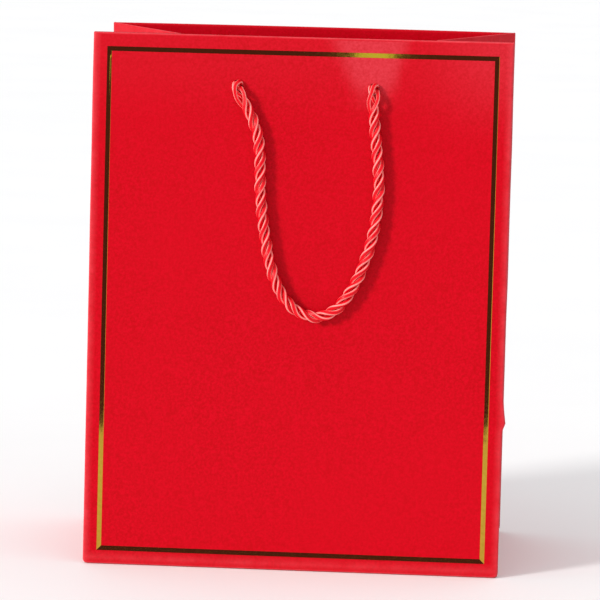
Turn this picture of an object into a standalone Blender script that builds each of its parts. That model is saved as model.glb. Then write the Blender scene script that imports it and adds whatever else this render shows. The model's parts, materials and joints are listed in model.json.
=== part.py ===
"""A paper gift bag with a gold border and two twisted-cord handles.

Metres, +Z up, X to the right seen from the front. The front faces -Y, and the origin is at the middle of
the base. Each long panel is built in its own frame: X across, Y up the panel from its bottom crease, and Z
out of its face.
"""

import math

import bmesh
import bpy
from mathutils import Matrix, Vector

# Bag
WIDTH = 0.180
HEIGHT = 0.230            # measured along a long panel, from the base crease to the rim
DEPTH = 0.100             # front to back at the base
MOUTH = 0.073             # front to back at the rim
PAPER = 0.0005
GAP = 0.0003              # between two pieces that touch on the real bag
CREASE_LIFT = 0.0001      # from the floor to the bottom edge of a panel or side wall
CORNER = 0.002            # rounding of a panel's bottom corners
LEAN = math.asin((DEPTH - MOUTH) / 2 / HEIGHT)

# Turned-in hem and the card inside it
HEM_DEPTH = 0.038
HEM_HALF = 0.084
CARD = 0.0008
CARD_HALF = 0.083
CARD_DEPTH = 0.0355
RIM_INSET = 0.0006

# Side gussets
SCORE = 0.067             # the horizontal crease, measured up the paper from the base
SCORE_TUCK = 0.010        # how far the gusset's middle sits inside the bag's side at that crease
WALL_CLEARANCE = 3 * GAP  # from the side's lower triangle to the panels and creases beside it
PEAK_CLEARANCE = 4 * GAP
GUSSET_ROWS = 8
GUSSET_COLUMNS = 4
HEM_START = 0.10          # share of a gusset half's width where its own hem begins
MIDDLE_GAP = 0.0004       # half the gap between the two halves at the middle crease

# Base
FLAP_REACH = 0.060        # front and back flaps, so that they overlap under the middle
FLAP_END = 0.0012         # from a crease to the flap beside it
SIDE_FLAP_REACH = 0.045
SIDE_FLAP_CUT = 0.015     # how far the side flaps narrow at each corner
BOARD_CLEARANCE = 0.002
BOARD = 0.001

# Foil border
FOIL_INSET = 0.006
FOIL_WIDTH = 0.002
FOIL = 0.0001
FOIL_LIFT = 0.00015       # from the panel's face to the middle of the foil

# Handles and their knots
CORD_DIAMETER = 0.005
HOLE_DIAMETER = 0.006
HOLE_LEFT = -0.0275
HOLE_RIGHT = 0.0308
HOLE_DROP = 0.0213
AXIS_OUT = 0.0028         # the swing axis stands this far out of the panel's face
STUB_OUT = 0.0002
KNOT_ACROSS = 0.0062
KNOT_THICK = 0.0050
TAIL_LENGTH = 0.013
ROUTE_STEPS = 2           # points on the tube for each point of the route

# The cord's middle line from hole to hole: across the panel, and down from the holes
HANDLE_ROUTE = (
    (-0.0275, 0.0000),
    (-0.0237, 0.0081),
    (-0.0186, 0.0194),
    (-0.0170, 0.0307),
    (-0.0166, 0.0423),
    (-0.0156, 0.0537),
    (-0.0138, 0.0651),
    (-0.0114, 0.0766),
    (-0.0068, 0.0879),
    (0.0000, 0.0954),
    (0.0086, 0.0981),
    (0.0169, 0.0948),
    (0.0241, 0.0854),
    (0.0293, 0.0730),
    (0.0327, 0.0598),
    (0.0342, 0.0446),
    (0.0337, 0.0331),
    (0.0324, 0.0216),
    (0.0312, 0.0104),
    (0.0308, 0.0000),
)

# Side seam, glued inside the back panel
SEAM_WIDTH = 0.015
SEAM_BOTTOM = 0.010
SEAM_TOP = 0.186
SEAM_EDGE = 0.0865

RED = (0.745, 0.004, 0.018, 1)
LIGHT_RED = (0.80, 0.02, 0.04, 1)
GOLD = (0.75, 0.52, 0.18, 1)
WHITE = (0.86, 0.85, 0.82, 1)
GREY_BOARD = (0.58, 0.56, 0.52, 1)
CORD_RED = (0.80, 0.03, 0.05, 1)
RED_PAPER_ROUGHNESS = 0.42
WHITE_PAPER_ROUGHNESS = 0.80
BOARD_ROUGHNESS = 0.85
FOIL_ROUGHNESS = 0.18
CORD_ROUGHNESS = 0.55


def clear_scene():
    for thing in list(bpy.data.objects):
        bpy.data.objects.remove(thing)


def new_collection(name):
    collection = bpy.data.collections.new(name)
    bpy.context.scene.collection.children.link(collection)
    return collection


def give_material(thing, colour, roughness, metallic=0.0):
    material = bpy.data.materials.new(thing.name + "_finish")
    material.use_nodes = True
    shader = material.node_tree.nodes["Principled BSDF"]
    shader.inputs["Base Color"].default_value = colour
    shader.inputs["Roughness"].default_value = roughness
    shader.inputs["Metallic"].default_value = metallic
    thing.data.materials.append(material)


def place(thing, parent=None, location=(0, 0, 0), rotation=(0, 0, 0)):
    bag.objects.link(thing)
    thing.parent = parent
    thing.location = location
    thing.rotation_euler = rotation
    return thing


def empty(name, parent, location, rotation=(0, 0, 0)):
    return place(bpy.data.objects.new(name, None), parent, location, rotation)


def rounded_outline(corners, radii=None, steps=5):
    """Points round a counter-clockwise outline, with an arc at each corner that has a radius."""
    points = []
    for index, corner in enumerate(corners):
        radius = radii[index] if radii else 0
        corner = Vector(corner)
        if not radius:
            points.append(corner)
            continue
        before = (Vector(corners[index - 1]) - corner).normalized()
        after = (Vector(corners[(index + 1) % len(corners)]) - corner).normalized()
        centre = corner + (before + after) * radius
        for step in range(steps + 1):
            turn = step / steps * math.pi / 2
            arm = after * math.cos(turn) + before * math.sin(turn)
            points.append(centre - arm * radius)
    return points


def circle(x, y, diameter, sides=24):
    turns = [2 * math.pi * side / sides for side in range(sides)]
    return [Vector((x + diameter / 2 * math.cos(t), y + diameter / 2 * math.sin(t))) for t in turns]


def rectangle(half_width, low, high):
    return [(-half_width, low), (half_width, low), (half_width, high), (-half_width, high)]


def flat_sheet(name, outline, thickness, holes=()):
    """A sheet cut from the XY plane, with its thickness centred on that plane."""
    curve = bpy.data.curves.new(name, "CURVE")
    curve.dimensions = "2D"
    curve.fill_mode = "BOTH"
    curve.extrude = thickness / 2
    for loop in (outline, *holes):
        spline = curve.splines.new("POLY")
        spline.points.add(len(loop) - 1)
        for point, at in zip(spline.points, loop):
            point.co = (at[0], at[1], 0, 1)
        spline.use_cyclic_u = True
    return bpy.data.objects.new(name, curve)


def smooth_route(points, steps):
    """Catmull-Rom curve through the points, with this many steps between neighbours."""
    ends = [2 * points[0] - points[1], *points, 2 * points[-1] - points[-2]]
    route = []
    for a, b, c, d in zip(ends, ends[1:], ends[2:], ends[3:]):
        for step in range(steps):
            t = step / steps
            slope = c - a
            bend = 2 * a - 5 * b + 4 * c - d
            twist = 3 * b - a - 3 * c + d
            route.append(b + (slope * t + bend * t**2 + twist * t**3) / 2)
    return [*route, points[-1]]


def mesh_object(name, shape):
    mesh = bpy.data.meshes.new(name)
    bmesh.ops.recalc_face_normals(shape, faces=shape.faces)
    shape.to_mesh(mesh)
    shape.free()
    return bpy.data.objects.new(name, mesh)


# Long panels ---------------------------------------------------------------

def panel_frame(side, turn):
    """The hinge of a long panel: an empty on its bottom crease, turned so that Y runs up the panel."""
    at = (0, -DEPTH / 2 if side == "front" else DEPTH / 2, 0)
    return empty(side + "_panel_hinge", None, at, (math.pi / 2 - LEAN, 0, turn))


def holes():
    return [circle(x, HEIGHT - HOLE_DROP, HOLE_DIAMETER) for x in (HOLE_LEFT, HOLE_RIGHT)]


def make_panel(side, hinge):
    half = WIDTH / 2
    corners = [(-half, CREASE_LIFT), (half, CREASE_LIFT), (half, HEIGHT), (-half, HEIGHT)]
    outline = rounded_outline(corners, (CORNER, CORNER, 0, 0))
    panel = flat_sheet(side + "_panel", outline, PAPER, holes())
    place(panel, hinge, (0, 0, -PAPER / 2))
    give_material(panel, RED, RED_PAPER_ROUGHNESS)


def make_rim_card(side, hinge):
    outline = rectangle(CARD_HALF, HEIGHT - CARD_DEPTH, HEIGHT - 2 * RIM_INSET)
    card = flat_sheet(side + "_rim_card", outline, CARD, holes())
    place(card, hinge, (0, 0, -PAPER - GAP - CARD / 2))
    give_material(card, GREY_BOARD, BOARD_ROUGHNESS)


def make_top_hem(side, hinge):
    outline = rectangle(HEM_HALF, HEIGHT - HEM_DEPTH, HEIGHT - RIM_INSET)
    hem = flat_sheet(side + "_top_hem", outline, PAPER, holes())
    place(hem, hinge, (0, 0, -PAPER - GAP - CARD - GAP - PAPER / 2))
    give_material(hem, RED, RED_PAPER_ROUGHNESS)


def make_foil_border(side, hinge):
    def ring(inset):
        return rectangle(WIDTH / 2 - inset, inset, HEIGHT - inset)

    foil = flat_sheet(side + "_foil_border", ring(FOIL_INSET), FOIL, [ring(FOIL_INSET + FOIL_WIDTH)])
    place(foil, hinge, (0, 0, FOIL_LIFT))
    give_material(foil, GOLD, FOIL_ROUGHNESS, 1.0)


def make_knot(side, hinge, name, x):
    """A knot behind the hole, with the stub of cord that comes through it and the cut tail below it."""
    behind = -(2 * PAPER + CARD + 2 * GAP) - GAP - KNOT_THICK
    knot = bmesh.new()
    squash = Matrix.Diagonal((KNOT_ACROSS, KNOT_ACROSS, KNOT_THICK, 1))
    bmesh.ops.create_uvsphere(knot, u_segments=16, v_segments=10, radius=1, matrix=squash)
    body = place(mesh_object(f"{side}_knot_{name}", knot), hinge, (x, HEIGHT - HOLE_DROP, behind))

    def cord_end(kind, length, centre, rotation):
        end = bmesh.new()
        radius = CORD_DIAMETER / 2
        bmesh.ops.create_cone(end, cap_ends=True, segments=12, depth=length, radius1=radius, radius2=radius)
        cutter = mesh_object(f"{side}_{name}_{kind}", end)
        joined.objects.link(cutter)
        cutter.parent = hinge
        cutter.location = Vector((x, HEIGHT - HOLE_DROP, behind)) + Vector(centre)
        cutter.rotation_euler = rotation
        cutter.hide_render = True
        cutter.display_type = "WIRE"
        union = body.modifiers.new(kind, "BOOLEAN")
        union.operation = "UNION"
        union.solver = "EXACT"
        union.object = cutter

    stub = STUB_OUT - behind
    cord_end("stub", stub, (0, 0, stub / 2), (0, 0, 0))
    cord_end("tail", TAIL_LENGTH, (0, -TAIL_LENGTH / 2, 0), (math.pi / 2, 0, 0))
    body.data.shade_smooth()
    give_material(body, CORD_RED, CORD_ROUGHNESS)


def make_handle(side, hinge):
    """The free cord from hole to hole. Its hinge is an empty on the swing axis."""
    swing = empty(side + "_handle_hinge", hinge, (0, HEIGHT - HOLE_DROP, AXIS_OUT))
    route = smooth_route([Vector((x, -drop, 0)) for x, drop in HANDLE_ROUTE], ROUTE_STEPS)
    curve = bpy.data.curves.new(side + "_handle", "CURVE")
    curve.dimensions = "3D"
    curve.bevel_depth = CORD_DIAMETER / 2
    curve.bevel_resolution = 3
    curve.use_fill_caps = True
    spline = curve.splines.new("POLY")
    spline.points.add(len(route) - 1)
    for point, at in zip(spline.points, route):
        point.co = (*at, 1)
    handle = place(bpy.data.objects.new(side + "_handle", curve), swing)
    give_material(handle, CORD_RED, CORD_ROUGHNESS)


def make_long_side(side, turn):
    hinge = panel_frame(side, turn)
    make_panel(side, hinge)
    make_rim_card(side, hinge)
    make_top_hem(side, hinge)
    make_foil_border(side, hinge)
    make_knot(side, hinge, "left", HOLE_LEFT)
    make_knot(side, hinge, "right", HOLE_RIGHT)
    make_handle(side, hinge)
    return hinge


def make_side_seam(hinge):
    """The glued strip that closes the paper tube, inside the back panel at the bag's left."""
    middle = SEAM_EDGE - SEAM_WIDTH / 2
    outline = [(x + middle, y) for x, y in rectangle(SEAM_WIDTH / 2, SEAM_BOTTOM, SEAM_TOP)]
    seam = flat_sheet("side_seam_flap", outline, PAPER)
    place(seam, hinge, (0, 0, -PAPER - GAP - PAPER / 2))
    give_material(seam, WHITE, WHITE_PAPER_ROUGHNESS)


# Side gussets --------------------------------------------------------------

def up_panel(distance, inward=0.0):
    """(y, z) of the front panel at a distance up from its bottom crease, and that far behind its face."""
    y = -DEPTH / 2 + distance * math.sin(LEAN) + inward * math.cos(LEAN)
    return y, distance * math.cos(LEAN) - inward * math.sin(LEAN)


def gusset_corners():
    """The ends of the left gusset's middle crease, at the score and at the top, by the paper's lengths."""
    score = Vector((-WIDTH / 2 + SCORE_TUCK, 0, math.sqrt(SCORE**2 - SCORE_TUCK**2)))
    rim_y, rim_z = up_panel(HEIGHT)
    rim = Vector((-WIDTH / 2, 0, rim_z))
    from_rim = math.sqrt((DEPTH / 2) ** 2 - rim_y**2)
    from_score = HEIGHT - SCORE
    across = rim - score
    along = (from_score**2 - from_rim**2 + across.length**2) / (2 * across.length)
    aside = math.sqrt(from_score**2 - along**2)
    unit = across.normalized()
    return score, score + unit * along + Vector((unit.z, 0, -unit.x)) * aside


def gusset_point(across, height_share):
    """A point of the left gusset's front half: across is 0 at the panel's crease, 1 at the middle one."""
    score, top = gusset_corners()
    y, z = up_panel(SCORE + (HEIGHT - SCORE) * height_share, PAPER + GAP)
    outer = Vector((-WIDTH / 2 + PAPER / 2, y, z))
    middle = score.lerp(top, height_share) - Vector((0, MIDDLE_GAP, 0))
    return outer.lerp(middle, across)


def shares(first, steps):
    return [first + (1 - first) * step / steps for step in range(steps + 1)]


def make_gusset_half(name, x_side, y_side, first_row, first_across, shift, colour):
    """One half of a gusset: a ruled sheet between its two creases, and below the score a triangle."""
    sheet = bmesh.new()
    rows = shares(first_row, GUSSET_ROWS)
    columns = shares(first_across, GUSSET_COLUMNS)
    grid = [[sheet.verts.new(gusset_point(across, row)) for across in columns] for row in rows]
    for low, high in zip(grid, grid[1:]):
        for a, b, c, d in zip(low, low[1:], high[1:], high):
            sheet.faces.new((a, b, c, d))
    if first_row == 0:
        y, z = up_panel(WALL_CLEARANCE, PAPER + GAP)
        corner = sheet.verts.new((-WIDTH / 2 + PAPER / 2, y, z))
        for a, b in zip(grid[0], grid[0][1:]):
            sheet.faces.new((corner, b, a))
    bmesh.ops.recalc_face_normals(sheet, faces=sheet.faces)
    sheet.normal_update()
    if sum((face.normal.x for face in sheet.faces), 0.0) < 0:
        bmesh.ops.reverse_faces(sheet, faces=sheet.faces)
        sheet.normal_update()
    inward = {vertex: vertex.normal.copy() for vertex in sheet.verts}
    for vertex, normal in inward.items():
        vertex.co += normal * shift
    bmesh.ops.transform(sheet, matrix=Matrix.Diagonal((x_side, y_side, 1, 1)), verts=sheet.verts)
    mesh = bpy.data.meshes.new(name)
    if x_side * y_side < 0:
        bmesh.ops.reverse_faces(sheet, faces=sheet.faces)
    sheet.to_mesh(mesh)
    sheet.free()
    half = place(bpy.data.objects.new(name, mesh))
    thicken = half.modifiers.new("paper", "SOLIDIFY")
    thicken.thickness = PAPER
    thicken.offset = 0
    half.data.shade_smooth()
    give_material(half, colour, RED_PAPER_ROUGHNESS)


def make_side_wall(name, x_side):
    """The triangle of the side below the two slanting creases, which stays with the base."""
    score, _ = gusset_corners()
    lean = math.asin(SCORE_TUCK / SCORE)
    half = DEPTH / 2 - PAPER - WALL_CLEARANCE
    peak = SCORE - PEAK_CLEARANCE
    wall = flat_sheet(name, [(-half, CREASE_LIFT), (half, CREASE_LIFT), (0, peak)], PAPER)
    at = (x_side * (WIDTH / 2 - PAPER / 2), 0, 0)
    turn = math.pi / 2 if x_side > 0 else -math.pi / 2
    hinge = empty(name + "_crease", None, at, (math.pi / 2 - lean, 0, turn))
    place(wall, hinge)
    give_material(wall, RED, RED_PAPER_ROUGHNESS)


# Base ----------------------------------------------------------------------

def make_long_flap(name, y_side, level):
    """A glued bottom flap that narrows at 45 degrees, as the folded corners make it."""
    edge = WIDTH / 2 - FLAP_END
    start = DEPTH / 2 - FLAP_END
    reach = FLAP_REACH - FLAP_END
    narrow = edge - reach
    outline = [(-edge, start), (-narrow, start - reach), (narrow, start - reach), (edge, start)]
    flap = flat_sheet(name, outline, PAPER)
    place(flap, None, (0, 0, level + PAPER / 2), (0, 0, 0 if y_side > 0 else math.pi))
    give_material(flap, RED, RED_PAPER_ROUGHNESS)


def make_side_flap(name, x_side, level):
    """The flap under the long ones, cut back at its corners."""
    edge = DEPTH / 2 - 2 * FLAP_END
    start = WIDTH / 2 - FLAP_END
    end = start - SIDE_FLAP_REACH
    inner = edge - SIDE_FLAP_CUT
    outline = [(start, -edge), (start, edge), (end, inner), (end, -inner)]
    flap = flat_sheet(name, outline, PAPER)
    place(flap, None, (0, 0, level + PAPER / 2), (0, 0, 0 if x_side > 0 else math.pi))
    give_material(flap, RED, RED_PAPER_ROUGHNESS)


def make_base_board(level):
    half_width = WIDTH / 2 - BOARD_CLEARANCE
    half_depth = DEPTH / 2 - BOARD_CLEARANCE
    board = flat_sheet("base_board", rectangle(half_width, -half_depth, half_depth), BOARD)
    place(board, None, (0, 0, level + BOARD / 2))
    give_material(board, GREY_BOARD, BOARD_ROUGHNESS)


def make_base():
    layer = PAPER + GAP
    make_long_flap("bottom_flap_front", -1, 0)
    make_long_flap("bottom_flap_back", 1, layer)
    make_side_flap("bottom_flap_left", -1, 2 * layer)
    make_side_flap("bottom_flap_right", 1, 2 * layer)
    make_base_board(3 * layer)


def make_gussets():
    hem_row = 1 - HEM_DEPTH / (HEIGHT - SCORE)
    for x_name, x_side in (("left", 1), ("right", -1)):
        make_side_wall("side_wall_" + x_name, -x_side)
        for y_name, y_side in (("front", 1), ("back", -1)):
            name = f"gusset_{x_name}_{y_name}"
            make_gusset_half(name, x_side, y_side, 0, 0, 0, RED)
            make_gusset_half(name + "_hem", x_side, y_side, hem_row, HEM_START, PAPER + GAP, LIGHT_RED)


clear_scene()
bag = new_collection("gift_bag")
joined = new_collection("joined_cord_ends")
joined.hide_render = True
make_base()
make_gussets()
make_long_side("front", 0)
back = make_long_side("back", math.pi)
make_side_seam(back)
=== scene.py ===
"""The looks of a red paper gift bag with a gold border and two twisted-cord handles.

Metres, +Z up, the front faces -Y. A panel point is (x, up, out): across, up the panel from its
bottom crease, and out of its face. The back panel is the front one turned half a turn about Z.
"""

import json
import math

import bmesh
import bpy
from mathutils import Matrix, Vector, noise
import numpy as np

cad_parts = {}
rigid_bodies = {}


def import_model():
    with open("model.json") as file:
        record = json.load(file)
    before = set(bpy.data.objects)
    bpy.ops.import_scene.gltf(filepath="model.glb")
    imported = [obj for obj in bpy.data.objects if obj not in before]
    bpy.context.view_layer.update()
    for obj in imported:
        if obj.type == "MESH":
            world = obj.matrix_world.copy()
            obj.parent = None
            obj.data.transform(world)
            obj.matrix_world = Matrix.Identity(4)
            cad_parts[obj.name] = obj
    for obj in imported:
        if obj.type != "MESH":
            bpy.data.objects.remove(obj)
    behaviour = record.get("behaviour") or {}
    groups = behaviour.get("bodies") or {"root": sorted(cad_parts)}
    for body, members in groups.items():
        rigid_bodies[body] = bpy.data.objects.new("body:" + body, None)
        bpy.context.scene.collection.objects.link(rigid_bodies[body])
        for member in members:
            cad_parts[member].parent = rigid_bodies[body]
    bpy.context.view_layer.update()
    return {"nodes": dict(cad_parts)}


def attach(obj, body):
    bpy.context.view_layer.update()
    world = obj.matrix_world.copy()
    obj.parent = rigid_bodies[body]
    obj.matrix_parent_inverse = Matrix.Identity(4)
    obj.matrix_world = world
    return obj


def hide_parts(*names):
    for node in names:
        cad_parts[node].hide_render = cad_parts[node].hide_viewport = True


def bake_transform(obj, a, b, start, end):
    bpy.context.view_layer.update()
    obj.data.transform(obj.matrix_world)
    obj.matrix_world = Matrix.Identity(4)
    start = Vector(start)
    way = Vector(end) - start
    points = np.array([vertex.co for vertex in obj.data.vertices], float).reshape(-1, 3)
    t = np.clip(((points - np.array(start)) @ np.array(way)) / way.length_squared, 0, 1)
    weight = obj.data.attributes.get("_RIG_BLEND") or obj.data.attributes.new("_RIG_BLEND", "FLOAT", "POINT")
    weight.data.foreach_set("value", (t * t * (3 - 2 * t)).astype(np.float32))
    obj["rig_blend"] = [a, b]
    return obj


for thing in list(bpy.data.objects):
    bpy.data.objects.remove(thing)

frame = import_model()

WIDTH = 0.180
HEIGHT = 0.230            # up a panel, from its bottom crease to the rim
DEPTH = 0.100             # front to back at the base
MOUTH = 0.073             # front to back at the rim
LEAN = math.asin((DEPTH - MOUTH) / 2 / HEIGHT)
PAPER = 0.0003
SCORE = 0.067             # height of the creases across the sides
SCORE_TUCK = 0.010        # how far in the sides are there
HEM_DEPTH = 0.038
FOLD = 0.0008             # radius of a crease, at the middle of the paper
RIM_FOLD = 0.00095
RIM_MIDDLE = HEIGHT - RIM_FOLD - PAPER / 2
FACE_OUT = -PAPER / 2     # the middle of a panel's paper
HOLE_X = (-0.0275, 0.0308)
HOLE_UP = HEIGHT - 0.0213
HOLE_RADIUS = 0.0024
PATCH = 0.005             # half of the square of paper round a hole
RIPPLE = 0.00040          # unevenness of a panel
FRONT_BOW = 0.0003
BACK_BOW = 0.0022
PUCKER = 0.0013
AXIS_OUT = 0.0028         # from the face to the line that a handle swings about

# The cord's middle line from hole to hole: across the panel, and down from the holes
HANDLE_ROUTE = (
    (-0.0275, 0.0000), (-0.0237, 0.0081), (-0.0186, 0.0194), (-0.0170, 0.0307), (-0.0166, 0.0423),
    (-0.0156, 0.0537), (-0.0138, 0.0651), (-0.0114, 0.0766), (-0.0068, 0.0879), (0.0000, 0.0954),
    (0.0086, 0.0981), (0.0169, 0.0948), (0.0241, 0.0854), (0.0293, 0.0730), (0.0327, 0.0598),
    (0.0342, 0.0446), (0.0337, 0.0331), (0.0324, 0.0216), (0.0312, 0.0104), (0.0308, 0.0000),
)


# Shapes --------------------------------------------------------------------

def smooth(value, low=0.0, high=1.0):
    share = min(1.0, max(0.0, (value - low) / (high - low)))
    return share * share * (3 - 2 * share)


def bell(value, middle, width):
    return math.exp(-((value - middle) / width) ** 2)


def spread(low, high, steps):
    return [low + (high - low) * step / steps for step in range(steps + 1)]


def joined(*runs):
    """Several runs of numbers as one, without the repeats where they meet."""
    values = []
    for run in runs:
        values += [value for value in run if not values or abs(value - values[-1]) > 1e-7]
    return values


def panel_point(side, x, up, out):
    sine, cosine = math.sin(LEAN), math.cos(LEAN)
    point = Vector((x, -DEPTH / 2 + up * sine - out * cosine, up * cosine + out * sine))
    if side == "back":
        point.x, point.y = -point.x, -point.y
    return point


def bow(side, x, up):
    """How far the paper stands out of its flat plane."""
    across = max(0.0, 1 - (2 * x / WIDTH) ** 2)
    height = max(0.0, up / HEIGHT)
    seed = 3.1 if side == "front" else 11.7
    ripple = noise.noise(Vector((x * 16 + seed, up * 13, seed))) * RIPPLE
    ripple *= min(1.0, across * 2.5) * smooth(up, 0.0, 0.04) * (1 - 0.8 * smooth(up, 0.17, 0.20))
    if side == "back":
        return ripple + BACK_BOW * across * height ** 1.5
    return ripple + FRONT_BOW * across * smooth(height)


def pucker(up):
    """The right front edge is pushed out where the side's crossing creases meet."""
    if up > SCORE:
        return PUCKER * max(0.0, 1 - (up - SCORE) / 0.017) ** 2
    return PUCKER * max(0.0, 1 - (SCORE - up) / 0.0035)


def new_object(name, shape):
    mesh = bpy.data.meshes.new(name)
    shape.to_mesh(mesh)
    shape.free()
    mesh.shade_smooth()
    thing = bpy.data.objects.new(name, mesh)
    bpy.context.scene.collection.objects.link(thing)
    return thing


def thicken(thing, thickness, other_side=0):
    """Gives a sheet its thickness. other_side is how many slots on its other side's material is."""
    sheet = thing.modifiers.new("paper", "SOLIDIFY")
    sheet.thickness = thickness
    sheet.offset = 0
    sheet.material_offset = other_side
    split_edges(thing, 50)


def split_edges(thing, angle):
    edges = thing.modifiers.new("edges", "EDGE_SPLIT")
    edges.split_angle = math.radians(angle)


def print_paper(thing):
    """Red outside and white inside, or red on both sides of the faces whose material index is 2."""
    for material in (red_paper, white_paper, red_paper, red_paper):
        thing.data.materials.append(material)


def grid_faces(shape, grid, flip=False):
    faces = {}
    for row, (low, high) in enumerate(zip(grid, grid[1:])):
        for column, corners in enumerate(zip(low, low[1:], high[1:], high)):
            faces[row, column] = shape.faces.new(corners[::-1] if flip else corners)
    return faces


def punch(shape, grid, faces, rows, columns, middle):
    """Replaces a block of the grid with a round hole inside a ring of faces."""
    low_row, high_row = rows
    low_column, high_column = columns
    for row in range(low_row, high_row):
        for column in range(low_column, high_column):
            shape.faces.remove(faces.pop((row, column)))
    for row in range(low_row + 1, high_row):
        for column in range(low_column + 1, high_column):
            shape.verts.remove(grid[row][column])
    loop = [grid[low_row][column] for column in range(low_column, high_column)]
    loop += [grid[row][high_column] for row in range(low_row, high_row)]
    loop += [grid[high_row][column] for column in range(high_column, low_column, -1)]
    loop += [grid[row][low_column] for row in range(high_row, low_row, -1)]
    previous = loop
    for share in (0.45, 0.8, 1.0):
        ring = []
        for vertex in loop:
            on_circle = middle + (vertex.co - middle).normalized() * HOLE_RADIUS
            made = shape.verts.new(vertex.co.lerp(on_circle, share))
            for layer in shape.verts.layers.float.values():
                made[layer] = vertex[layer]
            ring.append(made)
        for a, b, c, d in zip(previous, previous[1:] + previous[:1], ring[1:] + ring[:1], ring):
            shape.faces.new((a, b, c, d))
        previous = ring


def nearest(values, target):
    return min(range(len(values)), key=lambda index: abs(values[index] - target))


NEAR_EDGE = 0.080         # a panel's columns are closer together beyond this
CORNER = 0.002            # radius of a panel's bottom corners
HEM_TAPER = 0.135


def panel_columns():
    """(x, drop behind the face, wear and painted sheen) across a panel, round both side creases."""
    edge = WIDTH / 2 - PAPER / 2 - FOLD
    middle = joined(
        spread(-edge, -NEAR_EDGE, 7), spread(-NEAR_EDGE, HOLE_X[0] - PATCH, 12),
        spread(HOLE_X[0] - PATCH, HOLE_X[0] + PATCH, 6),
        spread(HOLE_X[0] + PATCH, HOLE_X[1] - PATCH, 14),
        spread(HOLE_X[1] - PATCH, HOLE_X[1] + PATCH, 6),
        spread(HOLE_X[1] + PATCH, NEAR_EDGE, 12), spread(NEAR_EDGE, edge, 7),
    )
    curl = []
    for turn in spread(0, math.pi / 2, 6)[1:]:
        wear_and_sheen = bell(turn, 0.75, 0.55)
        curl.append((edge + FOLD * math.sin(turn), FOLD * (1 - math.cos(turn)), wear_and_sheen))
    curl.append((edge + FOLD, FOLD + 0.0003, 0.1))
    left = [(-x, drop, wear_and_sheen) for x, drop, wear_and_sheen in reversed(curl)]
    # Crease wear and a painted highlight: the flat paper within 2.2 mm of each side crease is lighter.
    return left + [(x, 0.0, 0.5 * smooth(abs(x), edge - 0.0022, edge)) for x in middle] + curl


def panel_rows():
    """(up, out, share of the rim's roll passed, wear and painted sheen) from the bottom crease to the hem's
    end.
    """
    rows = []
    low = FOLD + PAPER / 2
    rows.append((PAPER / 2, FACE_OUT - FOLD - 0.0004, 0, 0.1))
    for turn in spread(math.pi / 2, 0, 6):
        wear_and_sheen = bell(turn, 0.75, 0.5)
        rows.append((low - FOLD * math.sin(turn), FACE_OUT - FOLD * (1 - math.cos(turn)), 0, wear_and_sheen))
    ups = joined(
        spread(low, 0.008, 4), spread(0.008, SCORE - 0.006, 14), spread(SCORE - 0.006, SCORE + 0.018, 16),
        spread(SCORE + 0.018, HOLE_UP - PATCH, 24), spread(HOLE_UP - PATCH, HOLE_UP + PATCH, 6),
        spread(HOLE_UP + PATCH, RIM_MIDDLE, 5),
    )
    # A painted highlight, light bounced up from the floor: the lowest 6 mm of the face is lighter.
    rows += [(up, FACE_OUT, 0, 0.40 * (1 - smooth(up, 0.002, 0.0062))) for up in ups[1:]]
    for turn in spread(0, math.pi, 10)[1:]:
        wear_and_sheen = bell(turn, 1.0, 0.5)
        out = FACE_OUT - RIM_FOLD * (1 - math.cos(turn))
        rows.append((RIM_MIDDLE + RIM_FOLD * math.sin(turn), out, turn / math.pi, wear_and_sheen))
    back = FACE_OUT - 2 * RIM_FOLD
    ups = joined(
        spread(RIM_MIDDLE, HOLE_UP + PATCH, 5), spread(HOLE_UP + PATCH, HOLE_UP - PATCH, 6),
        spread(HOLE_UP - PATCH, HEIGHT - HEM_DEPTH, 5),
    )
    rows += [(up, back, 1, 0.0) for up in ups[1:]]
    return rows


def panel_place(side, column, row):
    """(x, up, out, wear and painted sheen) of a panel's point. The hem narrows, and the bottom corners are
    rounded.
    """
    x, drop, side_wear_and_sheen = column
    up, out, passed, wear_and_sheen = row
    if passed > 0:
        beyond = abs(x) - 0.060
        if beyond > 0:
            narrow = 1 - HEM_TAPER * smooth(passed, 0.45, 1.0)
            x = math.copysign(0.060 + beyond * narrow, x)
        out = min(out, FACE_OUT - drop)
        return x, up, out + bow(side, x, up), max(wear_and_sheen, side_wear_and_sheen * (1 - passed))
    dx, dy = abs(x) - (WIDTH / 2 - CORNER), CORNER - up
    if dx > 0 and dy > 0:
        pull = max(dx, dy) / math.hypot(dx, dy)
        x = math.copysign(WIDTH / 2 - CORNER + dx * pull, x)
        up = CORNER - dy * pull
    out = min(out, FACE_OUT - drop) if drop and out < FACE_OUT else out - drop
    if side == "front" and x > 0:
        x += pucker(up) * smooth(x, 0.0835, 0.0898)
    return x, up, out + bow(side, x, up), max(wear_and_sheen, side_wear_and_sheen)


def painted_highlight(x, up):
    """A painted highlight in the laminate's colour: a light patch above the right end of the handle, another
    towards the top right corner, and a faint lighter band along the top.
    """
    width = 0.005 + 0.45 * max(0.0, up - 0.206)
    left, right = 0.0295 - width, 0.0325 + 0.55 * width
    patch = smooth(x, left - 0.005, left + 0.004) * (1 - smooth(x, right, right + 0.006))
    patch *= smooth(up, 0.197, 0.214)
    corner = smooth(x, 0.045, 0.088) * smooth(up, 0.180, 0.228)
    return 0.58 * patch + 0.26 * corner + 0.08 * smooth(up, 0.19, 0.225)


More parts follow.
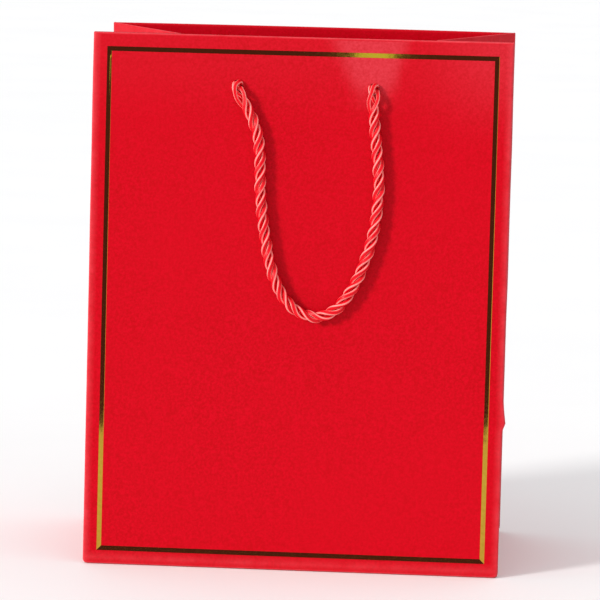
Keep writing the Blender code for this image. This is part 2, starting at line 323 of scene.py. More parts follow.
def make_panel(side):
    shape = bmesh.new()
    crease_wear_and_sheen = shape.verts.layers.float.new("crease_wear_and_sheen")
    painted_highlight_mask = shape.verts.layers.float.new("painted_highlight_mask")
    columns, rows = panel_columns(), panel_rows()
    grid = []
    for row in rows:
        line = []
        for column in columns:
            x, up, out, wear_and_sheen = panel_place(side, column, row)
            vertex = shape.verts.new(panel_point(side, x, up, out))
            vertex[crease_wear_and_sheen] = wear_and_sheen
            # The painted highlight patch is on the front panel's face only.
            vertex[painted_highlight_mask] = painted_highlight(x, up) if side == "front" and not row[2] else 0.0
            line.append(vertex)
        grid.append(line)
    faces = grid_faces(shape, grid)
    xs = [column[0] for column in columns]
    for passed in (0, 1):
        chosen = [index for index in range(len(rows)) if rows[index][2] == passed]
        ends = sorted(
            min(chosen, key=lambda index: abs(rows[index][0] - target))
            for target in (HOLE_UP - PATCH, HOLE_UP + PATCH)
        )
        for hole_x in HOLE_X:
            middle = panel_point(side, hole_x, HOLE_UP, rows[chosen[-1]][1] + bow(side, hole_x, HOLE_UP))
            block = (nearest(xs, hole_x - PATCH), nearest(xs, hole_x + PATCH))
            punch(shape, grid, faces, ends, block, middle)
    thing = new_object(side + "_panel_sheet", shape)
    thicken(thing, PAPER, 1)
    print_paper(thing)
    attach(thing, side + "_panel")
    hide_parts(side + "_panel", side + "_top_hem")


CARD_OUT = -0.0011
CARD_THICK = 0.0008
CARD_LOW, CARD_HIGH, CARD_EDGE = 0.1945, 0.2288, 0.083


def make_card(side):
    """The stiffening card between the panel and its hem, bowed with them."""
    shape = bmesh.new()
    grid = []
    xs = joined(
        spread(-CARD_EDGE, HOLE_X[0] - PATCH, 10), spread(HOLE_X[0] - PATCH, HOLE_X[0] + PATCH, 6),
        spread(HOLE_X[0] + PATCH, HOLE_X[1] - PATCH, 12), spread(HOLE_X[1] - PATCH, HOLE_X[1] + PATCH, 6),
        spread(HOLE_X[1] + PATCH, CARD_EDGE, 10),
    )
    ups = joined(
        spread(CARD_LOW, HOLE_UP - PATCH, 4), spread(HOLE_UP - PATCH, HOLE_UP + PATCH, 6),
        spread(HOLE_UP + PATCH, CARD_HIGH, 4),
    )
    for up in ups:
        grid.append([shape.verts.new(panel_point(side, x, up, CARD_OUT + bow(side, x, up))) for x in xs])
    faces = grid_faces(shape, grid)
    for hole_x in HOLE_X:
        middle = panel_point(side, hole_x, HOLE_UP, CARD_OUT + bow(side, hole_x, HOLE_UP))
        rows = (nearest(ups, HOLE_UP - PATCH), nearest(ups, HOLE_UP + PATCH))
        block = (nearest(xs, hole_x - PATCH), nearest(xs, hole_x + PATCH))
        punch(shape, grid, faces, rows, block, middle)
    thing = new_object(side + "_card", shape)
    thicken(thing, CARD_THICK)
    thing.data.materials.append(grey_board)
    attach(thing, side + "_panel")
    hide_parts(side + "_rim_card")


FOIL_INSET = 0.006
FOIL_WIDTH = 0.002
FOIL_LANES = (0.0, 0.00003, 0.0002, FOIL_WIDTH - 0.0002, FOIL_WIDTH - 0.00003, FOIL_WIDTH)
# Hundredths of a millimetre off the paper at each lane, for the bottom, right, top and left lines
FOIL_PROFILES = ((0, 21, 20, 8, 7, 0), (0, 2, 7, 7, 7, 0), (0, 7, 7, 7, 7, 0), (0, 7, 7, 7, 2, 0))


def make_foil(side):
    """The stamped border: four thin raised lines, mitred at the corners."""
    shape = bmesh.new()
    steps = 48

    def corners(at):
        half = WIDTH / 2 - FOIL_INSET - at
        low, high = FOIL_INSET + at, HEIGHT - FOIL_INSET - at
        return [(-half, low), (half, low), (half, high), (-half, high)]

    for index, profile in enumerate(FOIL_PROFILES):
        grid = []
        for at, hundredths in zip(FOIL_LANES, profile):
            lift = hundredths * 0.00001
            a, b = Vector(corners(at)[index]), Vector(corners(at)[(index + 1) % 4])
            line = []
            for step in range(steps + 1):
                x, up = a.lerp(b, step / steps)
                line.append(shape.verts.new(panel_point(side, x, up, lift + bow(side, x, up))))
            grid.append(line)
        grid_faces(shape, grid)
    thing = new_object(side + "_foil_line", shape)
    split_edges(thing, 30)
    thing.data.materials.append(gold_foil)
    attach(thing, side + "_panel")
    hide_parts(side + "_foil_border")


# Side gussets --------------------------------------------------------------

def gusset_corners():
    """The ends of the left gusset's middle crease, at the score and at the top."""
    score = Vector((-WIDTH / 2 + SCORE_TUCK, 0, math.sqrt(SCORE ** 2 - SCORE_TUCK ** 2)))
    corner = panel_point("front", -WIDTH / 2, HEIGHT, 0)
    rim = Vector((-WIDTH / 2, 0, corner.z))
    from_rim = math.sqrt((DEPTH / 2) ** 2 - corner.y ** 2)
    from_score = HEIGHT - SCORE
    across = rim - score
    along = (from_score ** 2 - from_rim ** 2 + across.length ** 2) / (2 * across.length)
    aside = math.sqrt(from_score ** 2 - along ** 2)
    unit = across.normalized()
    return score, score + unit * along + Vector((unit.z, 0, -unit.x)) * aside


SCORE_POINT, TOP_POINT = gusset_corners()
SIDE_X = -WIDTH / 2 + PAPER / 2 + 0.00003


def gusset_line(up):
    """Points across the left gusset's front half, from the panel's crease to the middle crease."""
    start = panel_point("front", SIDE_X, up, FACE_OUT - FOLD + 0.0001)
    if up >= SCORE:
        middle = SCORE_POINT.lerp(TOP_POINT, (up - SCORE) / (HEIGHT - SCORE))
    else:
        share = up / SCORE
        corner = panel_point("front", SIDE_X, 0, FACE_OUT - FOLD + 0.0001)
        middle = corner.lerp(SCORE_POINT, share)
    straight = middle - start
    length = straight.length
    unit = straight / length if length > 1e-6 else Vector((0, 1, 0))
    soft = min(0.0016, length * 0.3)
    turn_in = start + Vector((0, 1, 0)) * soft * 0.5
    points = []
    first = turn_in.lerp(middle, min(0.5, soft / max(length, 1e-6)))
    for share in spread(0, 1, 4)[:-1]:
        points.append((start.lerp(turn_in, share)).lerp(turn_in.lerp(first, share), share))
    if up >= SCORE:
        last = middle - unit * soft
        end = Vector(((last.x + middle.x) / 2, 0, middle.z))
        for share in spread(0, 1, 10)[:-1]:
            points.append(first.lerp(last, share))
        half = last.lerp(middle, 0.5)
        for share in spread(0, 1, 4):
            points.append((last.lerp(half, share)).lerp(half.lerp(end, share), share))
    else:
        for share in spread(0, 1, 14):
            points.append(first.lerp(middle, share))
    return points


GUSSET_WAVE = 0.0007
GUSSET_DISH = 0.0012
HEM_ROLL = 0.00035        # radius of the turn at a gusset's top edge


def gusset_sheet(ups, seed, pushed):
    """A line of (point, wear and painted sheen) across the sheet for each height. pushed is the one with the
    pucker.
    """
    lines = []
    for up in ups:
        points = gusset_line(up)
        count = len(points) - 1
        # Crease wear at the score, and a painted sheen: the top 15 mm of the gusset is lighter.
        wear_and_sheen = bell(up, SCORE, 0.0008) * 0.7 + 0.4 * smooth(up, 0.215, 0.229)
        line = []
        for index, point in enumerate(points):
            share = index / count
            here = point.copy()
            free = math.sin(math.pi * share)
            wave = noise.noise(Vector((share * 2.2 + seed, up * 22, seed))) * GUSSET_WAVE * free
            here.x += wave - GUSSET_DISH * free * smooth(up, SCORE + 0.01, SCORE + 0.09)
            if pushed:
                here.x -= pucker(up) * (1 - share) ** 3
            at_crease = 0.6 if index >= count - 2 and up >= SCORE else 0.0
            line.append((here, max(wear_and_sheen, at_crease)))
        lines.append(line)
    return lines


def gusset_hem(sheet, ups):
    """Lines of (point, wear and painted sheen) over the top edge and down inside, a little off the sheet."""
    top = [point for point, _ in sheet[-1]]
    inside = []
    for index, point in enumerate(top):
        along = top[min(index + 1, len(top) - 1)] - top[max(index - 1, 0)]
        normal = along.cross(point - sheet[-4][index][0]).normalized()
        inside.append(-normal if normal.x < 0 else normal)
    lines = []
    for turn in spread(0, math.pi, 6)[1:]:
        line = []
        for point, normal in zip(top, inside):
            lift = Vector((0, 0, HEM_ROLL * math.sin(turn)))
            line.append((point + normal * HEM_ROLL * (1 - math.cos(turn)) + lift, bell(turn, 1.2, 0.7)))
        lines.append(line)
    hem_ups = [up for up in ups if up > HEIGHT - HEM_DEPTH]
    for up in reversed(hem_ups[:-1]):
        source = sheet[ups.index(up)]
        # Painted sheen: the inside of the hem is lighter all over.
        lines.append([(point + normal * 2 * HEM_ROLL, 0.75) for (point, _), normal in zip(source, inside)])
    return lines


def make_gusset(x_name, y_name):
    """Half of a tucked side, with its hem. Its points are made for the left front and mirrored."""
    x_side = 1 if x_name == "left" else -1
    y_side = 1 if y_name == "front" else -1
    shape = bmesh.new()
    crease_wear_and_sheen = shape.verts.layers.float.new("crease_wear_and_sheen")
    ups = joined(
        spread(0.0015, 0.012, 3), spread(0.012, SCORE - 0.003, 14),
        spread(SCORE - 0.003, SCORE + 0.003, 6), spread(SCORE + 0.003, 0.2296, 42),
    )
    pushed = x_name == "right" and y_name == "front"
    lines = gusset_sheet(ups, 5 * x_side + 17 * y_side, pushed)
    lines += gusset_hem(lines, ups)
    grid = []
    for line in lines:
        grid.append([])
        for point, wear_and_sheen in line:
            vertex = shape.verts.new((point.x * x_side, point.y * y_side, point.z))
            vertex[crease_wear_and_sheen] = wear_and_sheen
            grid[-1].append(vertex)
    doubled = sum(up <= HEIGHT - HEM_DEPTH for up in ups)
    for (row, _), face in grid_faces(shape, grid, flip=x_side * y_side > 0).items():
        face.material_index = 2 if row >= doubled else 0
    node = f"gusset_{x_name}_{y_name}"
    thing = new_object(node + "_sheet", shape)
    thicken(thing, PAPER, 1)
    print_paper(thing)
    out = panel_point(y_name, 0, 0, 1) - panel_point(y_name, 0, 0, 0)
    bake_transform(thing, "base", y_name + "_panel", start=tuple(out * 0.0142), end=tuple(out * 0.0488))
    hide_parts(node, node + "_hem")


WALL_GAP = 0.0016         # from the wall's corner to the panel's crease
WALL_OVERLAP = 0.0026     # how far it runs on behind the gussets
WALL_DISH = 0.0006


def make_side_wall(x_name):
    """The lower triangle of a side, which runs on a little behind the slanting creases."""
    x_side = -1 if x_name == "left" else 1
    shape = bmesh.new()
    crease_wear_and_sheen = shape.verts.layers.float.new("crease_wear_and_sheen")
    lean = math.asin(SCORE_TUCK / SCORE)
    grid = []
    # (up, inward, wear)
    rows = [(0.0010, 0.0045, 0.0), (0.0004, 0.0022, 0.1)]
    for turn in spread(math.pi / 2, 0, 6):
        wear_and_sheen = bell(turn, 0.75, 0.5)
        rows.append((FOLD + PAPER / 2 - FOLD * math.sin(turn), FOLD * (1 - math.cos(turn)), wear_and_sheen))
    rows += [(up, 0.0, 0.0) for up in spread(FOLD + PAPER / 2, SCORE + 0.0005, 24)[1:]]
    for up, inward, wear_and_sheen in rows:
        half = (DEPTH / 2 - WALL_GAP) * (1 - up / SCORE) + WALL_OVERLAP * smooth(up, 0.002, 0.012)
        half = max(half, 0.0006)
        line = []
        for share in spread(-1, 1, 24):
            dish = WALL_DISH * (1 - share ** 2) * smooth(up, 0.0, 0.02) * (1 - up / SCORE)
            x = WIDTH / 2 - PAPER / 2 - 0.0001 - inward - up * math.tan(lean) - dish
            vertex = shape.verts.new((x * x_side, share * half, up * math.cos(lean)))
            vertex[crease_wear_and_sheen] = wear_and_sheen
            line.append(vertex)
        grid.append(line)
    grid_faces(shape, grid, flip=x_side < 0)
    thing = new_object(f"side_wall_{x_name}_sheet", shape)
    thicken(thing, PAPER, 1)
    print_paper(thing)
    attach(thing, "base")
    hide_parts("side_wall_" + x_name)


# Cords ---------------------------------------------------------------------

STEP = 0.0005             # between the rings of a strand
PITCH = 0.0165            # of the strands round the cord
LAY_RADIUS = 0.00147      # from the cord's middle to the middle of a strand
STRAND = 0.00101          # radius
STRANDS = 3
YARNS = 3                 # in a strand
YARN_PITCH = 0.013
AROUND = 24               # points round a strand
EYE = 0.0125              # from the cord's end to the middle of the gap between its strands
EYE_LENGTH = 0.0034
EYE_PARTING = 0.46
EYE_THINNING = 0.24
YARN_VALLEY = 0.84        # radius of a strand between its yarns, as a share
YARN_RISE = 0.24
UNEVEN = 0.05


def even_path(points, step):
    """Points at even distances along a Catmull-Rom curve through these."""
    ends = [2 * points[0] - points[1], *points, 2 * points[-1] - points[-2]]
    dense = []
    for a, b, c, d in zip(ends, ends[1:], ends[2:], ends[3:]):
        for t in spread(0, 1, 40)[:-1]:
            slope, bend = c - a, 2 * a - 5 * b + 4 * c - d
            twist = 3 * b - a - 3 * c + d
            dense.append(b + (slope * t + bend * t ** 2 + twist * t ** 3) / 2)
    dense.append(points[-1])
    total = sum((b - a).length for a, b in zip(dense, dense[1:]))
    count = max(2, round(total / step))
    even, walked, index = [dense[0]], 0.0, 0
    for wanted in spread(0, total, count)[1:-1]:
        while walked + (dense[index + 1] - dense[index]).length < wanted:
            walked += (dense[index + 1] - dense[index]).length
            index += 1
        part = (wanted - walked) / (dense[index + 1] - dense[index]).length
        even.append(dense[index].lerp(dense[index + 1], part))
    even.append(dense[-1])
    return even, total


def frames_along(path):
    """(normal, side, tangent) at each point, turning no more than the path does."""
    tangents = [
        (path[min(index + 1, len(path) - 1)] - path[max(index - 1, 0)]).normalized()
        for index in range(len(path))
    ]
    normal = tangents[0].orthogonal().normalized()
    frames = []
    for tangent in tangents:
        normal = (normal - tangent * normal.dot(tangent)).normalized()
        frames.append((normal.copy(), tangent.cross(normal), tangent))
    return frames


def lay_turns(lengths, pitch, opened):
    """The turn of the lay at each point of a cord. It slows down where the strands are opened."""
    turns = [0.0]
    for before, after in zip(lengths, lengths[1:]):
        slow = 1 + (opened(before) if opened else 0)
        turns.append(turns[-1] + 2 * math.pi * (after - before) / (pitch * slow))
    return turns


def running_length(path):
    """The distance along the path to each of its points."""
    lengths = [0.0]
    for a, b in zip(path, path[1:]):
        lengths.append(lengths[-1] + (b - a).length)
    return lengths


def add_rope(shape, path, start_turn=0.0, scale=1.0, pitch=PITCH, opened=None, fray=0.0):
    """Three twisted strands. opened(distance) parts them, and fray spreads the far end."""
    fibre = shape.loops.layers.uv.verify()
    frames = frames_along(path)
    lengths = running_length(path)
    turns = lay_turns(lengths, pitch, opened)
    gaps = [opened(along) if opened else 0.0 for along in lengths]
    frays = [fray * smooth(along, lengths[-1] - 0.005, lengths[-1]) for along in lengths]
    for strand in range(STRANDS):
        centres, outward = [], []
        for at, (normal, side, _), lay, gap, loose in zip(path, frames, turns, gaps, frays):
            turn = start_turn + 2 * math.pi * strand / STRANDS + lay
            arm = normal * math.cos(turn) + side * math.sin(turn)
            centres.append(at + arm * LAY_RADIUS * scale * (1 + EYE_PARTING * gap) * (1 + loose))
            outward.append(arm)
        rings = []
        for index, (centre, arm, along) in enumerate(zip(centres, outward, lengths)):
            tangent = centres[min(index + 1, len(centres) - 1)] - centres[max(index - 1, 0)]
            tangent.normalize()
            first = (arm - tangent * arm.dot(tangent)).normalized()
            second = tangent.cross(first)
            thin = scale * (1 - EYE_THINNING * gaps[index])
            ring = []
            for side in range(AROUND):
                angle = 2 * math.pi * side / AROUND
                yarn = abs(math.cos((YARNS * angle + 2 * math.pi * along / YARN_PITCH) / 2))
                uneven = noise.noise(Vector((along * 300, strand * 7, angle))) * UNEVEN
                radius = STRAND * thin * (YARN_VALLEY + YARN_RISE * yarn + uneven)
                point = centre + first * math.cos(angle) * radius + second * math.sin(angle) * radius
                ring.append(shape.verts.new(point))
            rings.append(ring)
        for index, (low, high) in enumerate(zip(rings, rings[1:])):
            shift = [along / (YARN_PITCH * YARNS) for along in lengths[index:index + 2]]
            for side in range(AROUND):
                after = (side + 1) % AROUND
                face = shape.faces.new((low[side], low[after], high[after], high[side]))
                spots = ((side, 0), (side + 1, 0), (side + 1, 1), (side, 1))
                for loop, (around, end) in zip(face.loops, spots):
                    loop[fibre].uv = (around / AROUND + shift[end] + strand, lengths[index + end] * 10)
        for ring, flip in ((rings[0], True), (rings[-1], False)):
            shape.faces.new(ring[::-1] if flip else ring)


def lay_for_eyes(path, length, backward, opened):
    """The first turn and the pitch that put one strand behind the other two at both eyes."""
    frames = frames_along(path)
    lengths = running_length(path)
    turns = lay_turns(lengths, PITCH, opened)
    first, second = nearest(lengths, EYE), nearest(lengths, length - EYE)
    wanted = []
    for index in (first, second):
        normal, side, _ = frames[index]
        wanted.append(math.atan2(side.dot(backward), normal.dot(backward)))
    between = turns[second] - turns[first]
    third = 2 * math.pi / STRANDS
    over = (wanted[1] - wanted[0] - between + third / 2) % third - third / 2
    faster = 1 + over / between
    return wanted[0] - turns[first] * faster, PITCH / faster


def make_handle(side):
    """A cord from hole to hole, with its two knots. It follows the bow of its panel."""
    lift = {x: bow(side, x, HOLE_UP) for x in HOLE_X}

    def shifted(x):
        share = (x - HOLE_X[0]) / (HOLE_X[1] - HOLE_X[0])
        return lift[HOLE_X[0]] * (1 - share) + lift[HOLE_X[1]] * share

    def at(x, up, out):
        return panel_point(side, x, up, out + shifted(x))

    ends = []
    for x in HOLE_X:
        ends.append([
            at(x, HOLE_UP, -0.0060), at(x, HOLE_UP, -0.0030), at(x, HOLE_UP + 0.0002, -0.0008),
            at(x, HOLE_UP, 0.0012), at(x, HOLE_UP - 0.0020, 0.0026),
        ])
    loop = [at(x, HOLE_UP - drop, AXIS_OUT) for x, drop in HANDLE_ROUTE[1:-1]]
    path, length = even_path([*ends[0], *loop, *reversed(ends[1])], STEP)

    def opened(along):
        near = min(along, length - along)
        return bell(near, EYE, EYE_LENGTH)

    shape = bmesh.new()
    backward = at(0, 0, 0) - at(0, 0, 1)
    start_turn, pitch = lay_for_eyes(path, length, backward, opened)
    add_rope(shape, path, start_turn, 1.0, pitch, opened)
    thing = new_object(side + "_handle_cord", shape)
    thing.data.materials.append(cord)
    swing = at(0, HOLE_UP, AXIS_OUT)
    across = (at(0, HOLE_UP - 0.001, AXIS_OUT + 0.001) - swing).normalized()
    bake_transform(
        thing, side + "_panel", side + "_handle",
        start=tuple(swing - across * 0.0017), end=tuple(swing + across * 0.0017),
    )
    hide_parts(side + "_handle")
    knots = [make_knot(side, name, x, lift[x]) for name, x in (("left", HOLE_X[0]), ("right", HOLE_X[1]))]
    tuple(at(HOLE_X[0], HOLE_UP, 0))
    [tuple(point) for point in path[::4]]


KNOT_SIZE = 0.0043
KNOT_DEPTH = 0.0019
KNOT_OUT = -0.0077


def make_knot(side, name, x, lift):
    """An overhand knot drawn tight behind the card, with its cut tail."""
    shape = bmesh.new()
    turned = 0.5 if name == "left" else -0.9
    middle = KNOT_OUT + lift
    loop = []
    for step in range(30):
        t = 2 * math.pi * step / 29
        a = (math.sin(t) + 2 * math.sin(2 * t)) / 3 * KNOT_SIZE
        b = (math.cos(t) - 2 * math.cos(2 * t)) / 3 * KNOT_SIZE
        c = -math.sin(3 * t) * KNOT_DEPTH
        across = a * math.cos(turned) - b * math.sin(turned)
        height = a * math.sin(turned) + b * math.cos(turned)
        loop.append(panel_point(side, x + across, HOLE_UP + height, middle + c))
    add_rope(shape, even_path(loop, STEP)[0], 0.0, 0.80)
    swerve = 0.0012 if name == "left" else -0.0015
    tail = [
        panel_point(side, x, HOLE_UP - 0.001, middle - 0.0012),
        panel_point(side, x + swerve * 0.4, HOLE_UP - 0.005, middle - 0.0010),
        panel_point(side, x + swerve, HOLE_UP - 0.009, middle - 0.0004),
        panel_point(side, x + swerve * 1.3, HOLE_UP - 0.0125, middle + 0.0004),
    ]
    add_rope(shape, even_path(tail, STEP)[0], 1.0, 0.92, fray=0.8)
    thing = new_object(f"{side}_knot_{name}_rope", shape)
    thing.data.materials.append(cord)
    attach(thing, side + "_panel")
    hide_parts(f"{side}_knot_{name}")
    return thing


# Materials -----------------------------------------------------------------

class Nodes:
    """A material's node tree, with short ways to add and join nodes."""

    def __init__(self, name):
        self.material = bpy.data.materials.new(name)
        self.material.use_nodes = True
        self.tree = self.material.node_tree
        self.shader = self.tree.nodes["Principled BSDF"]

    def add(self, kind, **settings):
        node = self.tree.nodes.new(kind)
        for key, value in settings.items():
            if hasattr(node, key):
                setattr(node, key, value)
            else:
                node.inputs[key.replace("_", " ")].default_value = value
        return node

    def join(self, source, target):
        self.tree.links.new(source, target)

    def coordinates(self, stretch=(1, 1, 1), uv=False):
        source = self.add("ShaderNodeTexCoord").outputs["UV" if uv else "Object"]
        mapping = self.add("ShaderNodeMapping")
        mapping.inputs["Scale"].default_value = stretch
        self.join(source, mapping.inputs["Vector"])
        return mapping.outputs["Vector"]

    def noise(self, scale, detail=3.0, roughness=0.5, vector=None):
        node = self.add("ShaderNodeTexNoise")
        node.inputs["Scale"].default_value = scale
        node.inputs["Detail"].default_value = detail
        node.inputs["Roughness"].default_value = roughness
        self.join(vector if vector else self.coordinates(), node.inputs["Vector"])
        return node.outputs["Fac"]

    def remap(self, value, low, high, to_low, to_high):
        node = self.add("ShaderNodeMapRange")
        for key, number in (("From Min", low), ("From Max", high), ("To Min", to_low), ("To Max", to_high)):
            node.inputs[key].default_value = number
        self.join(value, node.inputs["Value"])
        return node.outputs["Result"]

    def mix(self, share, first, second):
        node = self.add("ShaderNodeMix", data_type="RGBA")
        self.join(share, node.inputs[0])
        for value, target in ((first, node.inputs[6]), (second, node.inputs[7])):
            if isinstance(value, tuple):
                target.default_value = (*value, 1)
            else:
                self.join(value, target)
        return node.outputs[2]

    def bump(self, height, strength, distance, normal=None):
        node = self.add("ShaderNodeBump")
        node.inputs["Strength"].default_value = strength
        node.inputs["Distance"].default_value = distance
        self.join(height, node.inputs["Height"])
        if normal:
            self.join(normal, node.inputs["Normal"])
        return node.outputs["Normal"]

    def set(self, **values):
        for key, value in values.items():
            socket = self.shader.inputs[key.replace("_", " ")]
            if isinstance(value, bpy.types.NodeSocket):
                self.join(value, socket)
            elif socket.type == "RGBA":
                socket.default_value = (*value, 1)
            else:
                socket.default_value = value
        return self.material


# Lighter red for crease wear. The same colour also paints sheen and highlights along the side edges, the
# lowest 6 mm of a panel, and the gussets' tops and hem insides.
WEAR_AND_SHEEN_RED = (0.82, 0.080, 0.100)
# Painted highlight: the lighter red of the light patch on the front panel.
PAINTED_HIGHLIGHT_RED = (0.66, 0.055, 0.075)


def red_paper_material():
    """Matt laminated print: an even red with a fine mottle, lighter where it is creased, with painted sheen
    and a painted highlight patch as lighter red.
    """
    nodes = Nodes("red_paper_look")
    mottle = nodes.noise(900, 4, 0.6)
    clouds = nodes.noise(14, 3, 0.5)
    colour = nodes.mix(nodes.remap(mottle, 0.35, 0.65, 0, 1), (0.47, 0.0, 0.004), (0.61, 0.0, 0.011))
    colour = nodes.mix(nodes.remap(clouds, 0.35, 0.7, 0, 0.5), colour, (0.57, 0.0, 0.008))
    # Crease wear together with painted sheen and highlights, from the panel and gusset attribute.
    crease = nodes.add("ShaderNodeAttribute", attribute_name="crease_wear_and_sheen").outputs["Fac"]
    wear_and_sheen_share = nodes.add("ShaderNodeMath", operation="MULTIPLY")
    nodes.join(crease, wear_and_sheen_share.inputs[0])
    nodes.join(nodes.remap(nodes.noise(160, 4, 0.65), 0.3, 0.7, 0.35, 0.9), wear_and_sheen_share.inputs[1])
    colour = nodes.mix(wear_and_sheen_share.outputs["Value"], colour, WEAR_AND_SHEEN_RED)
    # The painted highlight patch: lighter red where the front panel's attribute says.
    painted_highlight = nodes.add("ShaderNodeMath", operation="MULTIPLY")
    nodes.join(nodes.add("ShaderNodeAttribute", attribute_name="painted_highlight_mask").outputs["Fac"], painted_highlight.inputs[0])
    nodes.join(nodes.remap(mottle, 0.35, 0.65, 0.6, 1.0), painted_highlight.inputs[1])
    colour = nodes.mix(painted_highlight.outputs["Value"], colour, PAINTED_HIGHLIGHT_RED)
    rough = nodes.remap(nodes.noise(380, 3, 0.6), 0.3, 0.7, 0.38, 0.47)
    normal = nodes.bump(nodes.noise(2600, 3, 0.6), 0.12, 0.00006)
    normal = nodes.bump(nodes.noise(110, 3, 0.5), 0.16, 0.0004, normal)
    return nodes.set(
        Base_Color=colour, Roughness=rough, Normal=normal, Specular_IOR_Level=0.08,
    )


def white_paper_material():
    """The bare back of the paper."""
    nodes = Nodes("white_paper_look")
    fibres = nodes.noise(1400, 5, 0.65)
    colour = nodes.mix(nodes.remap(fibres, 0.3, 0.7, 0, 1), (0.80, 0.785, 0.76), (0.88, 0.87, 0.85))
    normal = nodes.bump(fibres, 0.25, 0.00008)
    normal = nodes.bump(nodes.noise(90, 3, 0.5), 0.2, 0.0004, normal)
    return nodes.set(Base_Color=colour, Roughness=nodes.remap(fibres, 0.3, 0.7, 0.72, 0.85), Normal=normal)


def grey_board_material():
    """Recycled board: grey pulp with flecks."""
    nodes = Nodes("grey_board_look")
    pulp = nodes.noise(260, 6, 0.7)
    colour = nodes.mix(nodes.remap(pulp, 0.3, 0.7, 0, 1), (0.46, 0.44, 0.40), (0.64, 0.62, 0.57))
    fleck = nodes.add("ShaderNodeTexVoronoi")
    fleck.inputs["Scale"].default_value = 420
    nodes.join(nodes.coordinates((1, 0.35, 1)), fleck.inputs["Vector"])
    flecks = nodes.remap(fleck.outputs["Distance"], 0.06, 0.16, 0.55, 0)
    colour = nodes.mix(flecks, colour, (0.26, 0.24, 0.22))
    normal = nodes.bump(pulp, 0.4, 0.00012)
    return nodes.set(Base_Color=colour, Roughness=nodes.remap(pulp, 0.3, 0.7, 0.8, 0.92), Normal=normal)


def gold_foil_material():
    """Hot-stamped foil: a mirror with a faint grain from the paper under it."""
    nodes = Nodes("gold_foil_look")
    grain = nodes.noise(700, 3, 0.6)
    colour = nodes.mix(nodes.remap(grain, 0.3, 0.7, 0, 1), (0.50, 0.30, 0.03), (0.58, 0.36, 0.045))
    normal = nodes.bump(grain, 0.06, 0.00004)
    normal = nodes.bump(nodes.noise(120, 2, 0.5), 0.14, 0.00012, normal)
    rough = nodes.remap(grain, 0.3, 0.7, 0.04, 0.07)
    return nodes.set(Base_Color=colour, Metallic=1.0, Roughness=rough, Normal=normal)


# Painted shade: the darker red between the yarns of a strand.
CORD_PAINTED_SHADE = (0.30, 0.0, 0.004)
# Painted highlight: the pink along each yarn's crest.
CORD_PAINTED_HIGHLIGHT = (1.0, 0.34, 0.31)


def cord_material():
    """Satin yarn: fine fibres along each strand, with painted shade between the yarns and a painted
    highlight on their crests.
    """
    nodes = Nodes("twisted_cord_look")
    fibres = nodes.noise(1.0, 4, 0.6, nodes.coordinates((46, 2.2, 1), uv=True))
    colour = nodes.mix(nodes.remap(fibres, 0.32, 0.68, 0, 1), (0.80, 0.001, 0.009), (1.0, 0.006, 0.019))
    around = nodes.add("ShaderNodeSeparateXYZ")
    nodes.join(nodes.coordinates((math.pi * YARNS, 1, 1), uv=True), around.inputs["Vector"])
    wave = nodes.add("ShaderNodeMath", operation="COSINE")
    nodes.join(around.outputs["X"], wave.inputs[0])
    crest = nodes.add("ShaderNodeMath", operation="ABSOLUTE")
    nodes.join(wave.outputs["Value"], crest.inputs[0])
    # Painted shade between the yarns.
    colour = nodes.mix(nodes.remap(crest.outputs["Value"], 0.0, 0.42, 0.75, 0), colour, CORD_PAINTED_SHADE)
    # Painted highlight along the middle of each yarn.
    colour = nodes.mix(nodes.remap(crest.outputs["Value"], 0.80, 1.0, 0, 0.95), colour, CORD_PAINTED_HIGHLIGHT)
    normal = nodes.bump(fibres, 0.35, 0.00012)
    return nodes.set(
        Base_Color=colour, Roughness=nodes.remap(fibres, 0.3, 0.7, 0.40, 0.28), Normal=normal,
        Specular_IOR_Level=0.2, Sheen_Weight=0.05, Sheen_Roughness=0.3, Sheen_Tint=(1.0, 0.2, 0.2),
        Subsurface_Weight=0.12, Subsurface_Radius=(1.0, 0.12, 0.12), Subsurface_Scale=0.0006,
    )


def floor_material():
    """Pale and matt, with a faint cloudiness."""
    nodes = Nodes("floor_look")
    grain = nodes.noise(6, 3, 0.5)
    colour = nodes.mix(nodes.remap(grain, 0.3, 0.7, 0, 1), (0.93, 0.93, 0.93), (0.95, 0.95, 0.95))
    return nodes.set(Base_Color=colour, Roughness=0.9, Specular_IOR_Level=0.1)


def card_look(name, glow, strength):
    """A glowing card for the foil to reflect."""
    nodes = Nodes(name)
    return nodes.set(
        Base_Color=(0.0, 0.0, 0.0), Roughness=1.0, Specular_IOR_Level=0.0, Emission_Color=glow,
        Emission_Strength=strength,
    )


red_paper = red_paper_material()
white_paper = white_paper_material()
grey_board = grey_board_material()
gold_foil = gold_foil_material()
cord = cord_material()


# Camera, light and floor ---------------------------------------------------

CAMERA_PLACE = (0.0942, -1.4796, 0.3208)
PITCH_YAW_ROLL = (8.048, 3.689, -1.317)
LENS = 203.1


def make_camera():
    """The photograph's camera: pitch is down, and yaw is to the left."""
    place = Vector(CAMERA_PLACE)
    pitch, yaw, roll = map(math.radians, PITCH_YAW_ROLL)
    level = Vector((math.cos(yaw), math.sin(yaw), 0))
    upward = Vector((-math.sin(pitch) * math.sin(yaw), math.sin(pitch) * math.cos(yaw), math.cos(pitch)))
    forward = Vector((-math.cos(pitch) * math.sin(yaw), math.cos(pitch) * math.cos(yaw), -math.sin(pitch)))
    right = level * math.cos(roll) - upward * math.sin(roll)
    above = level * math.sin(roll) + upward * math.cos(roll)
    turn = Matrix((right, above, -forward)).transposed().to_4x4()
    lens = bpy.data.cameras.new("camera")
    lens.lens = LENS
    lens.sensor_width = 36
    lens.clip_start = 0.01
    lens.clip_end = 60
    camera = bpy.data.objects.new("camera", lens)
    camera.matrix_world = Matrix.Translation(place) @ turn
    bpy.context.scene.collection.objects.link(camera)
    bpy.context.scene.camera = camera


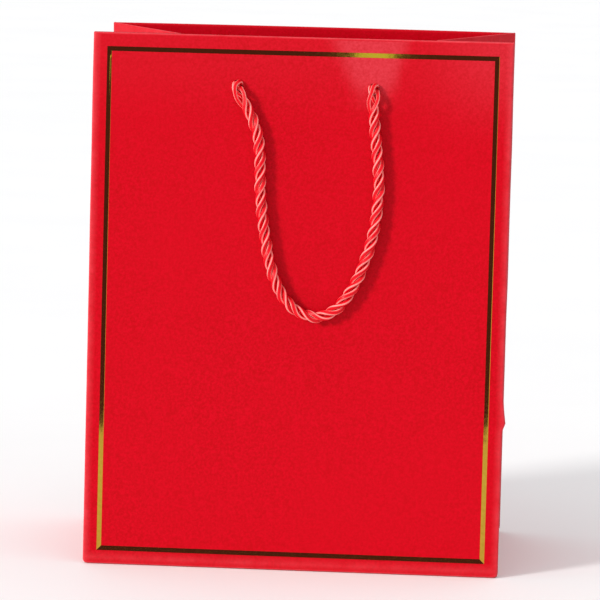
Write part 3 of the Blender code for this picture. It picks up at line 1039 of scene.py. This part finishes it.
def stage_board(name, centre, across, upward, material, only_reflected=False):
    """A flat rectangle of the studio. across and upward are its half sides."""
    shape = bmesh.new()
    centre, across, upward = Vector(centre), Vector(across), Vector(upward)
    signs = ((-1, -1), (1, -1), (1, 1), (-1, 1))
    shape.faces.new([shape.verts.new(centre + across * a + upward * b) for a, b in signs])
    board = new_object(name, shape)
    board.data.materials.append(material)
    if only_reflected:
        board.visible_camera = False
        board.visible_diffuse = False
        board.visible_shadow = False
        board.visible_transmission = False


def add_sun(name, towards, energy, wide, colour):
    sun = bpy.data.lights.new(name, "SUN")
    sun.energy = energy
    sun.angle = math.radians(wide)
    sun.color = colour
    lamp = bpy.data.objects.new(name, sun)
    lamp.rotation_euler = Vector(towards).to_track_quat("Z", "Y").to_euler()
    bpy.context.scene.collection.objects.link(lamp)


DARK_GLOW = (0.11, 0.038, 0.12)
BRIGHT_GLOW = (0.80, 1.0, 0.55)
KEY_TOWARDS = (-0.74, -0.60, 0.33)


def make_studio():
    """A pale floor, soft light, and two cards that only show as reflections in the foil."""
    stage_board("floor", (0, 0, -0.0002), (14, 0, 0), (0, 14, 0), floor_material())
    dark = card_look("dark_card_look", DARK_GLOW, 1.0)
    stage_board("dark_card", (-0.05, -1.0, 0.30), (0.55, 0, 0), (0, 0, 0.30), dark, True)
    bright = card_look("bright_card_look", BRIGHT_GLOW, 1.25)
    stage_board("bright_card", (-0.0075, -0.985, 0.278), (0.014, 0, 0), (0, 0, 0.032), bright, True)
    add_sun("key", KEY_TOWARDS, 2.50, 11, (1.0, 0.985, 0.965))
    add_sun("overhead", (0.0, 0.0, 1.0), 0.85, 100, (1.0, 1.0, 1.0))
    world = bpy.data.worlds.new("studio")
    world.use_nodes = True
    sky = world.node_tree.nodes["Background"]
    sky.inputs["Color"].default_value = (0.97, 0.98, 1.0, 1)
    sky.inputs["Strength"].default_value = 0.56
    bpy.context.scene.world = world
    bpy.context.scene.view_settings.view_transform = "Standard"


make_camera()
make_studio()
for side in ("front", "back"):
    make_handle(side)
for side in ("front", "back"):
    make_panel(side)
    make_card(side)
    make_foil(side)
for x_name in ("left", "right"):
    make_side_wall(x_name)
    for y_name in ("front", "back"):
        make_gusset(x_name, y_name)


def dress(node, material):
    """Gives a CAD node that stays in sight its material."""
    mesh = frame["nodes"][node].data
    mesh.materials.clear()
    mesh.materials.append(material)


for end in ("front", "back", "left", "right"):
    dress("bottom_flap_" + end, red_paper)
dress("base_board", grey_board)
dress("side_seam_flap", white_paper)
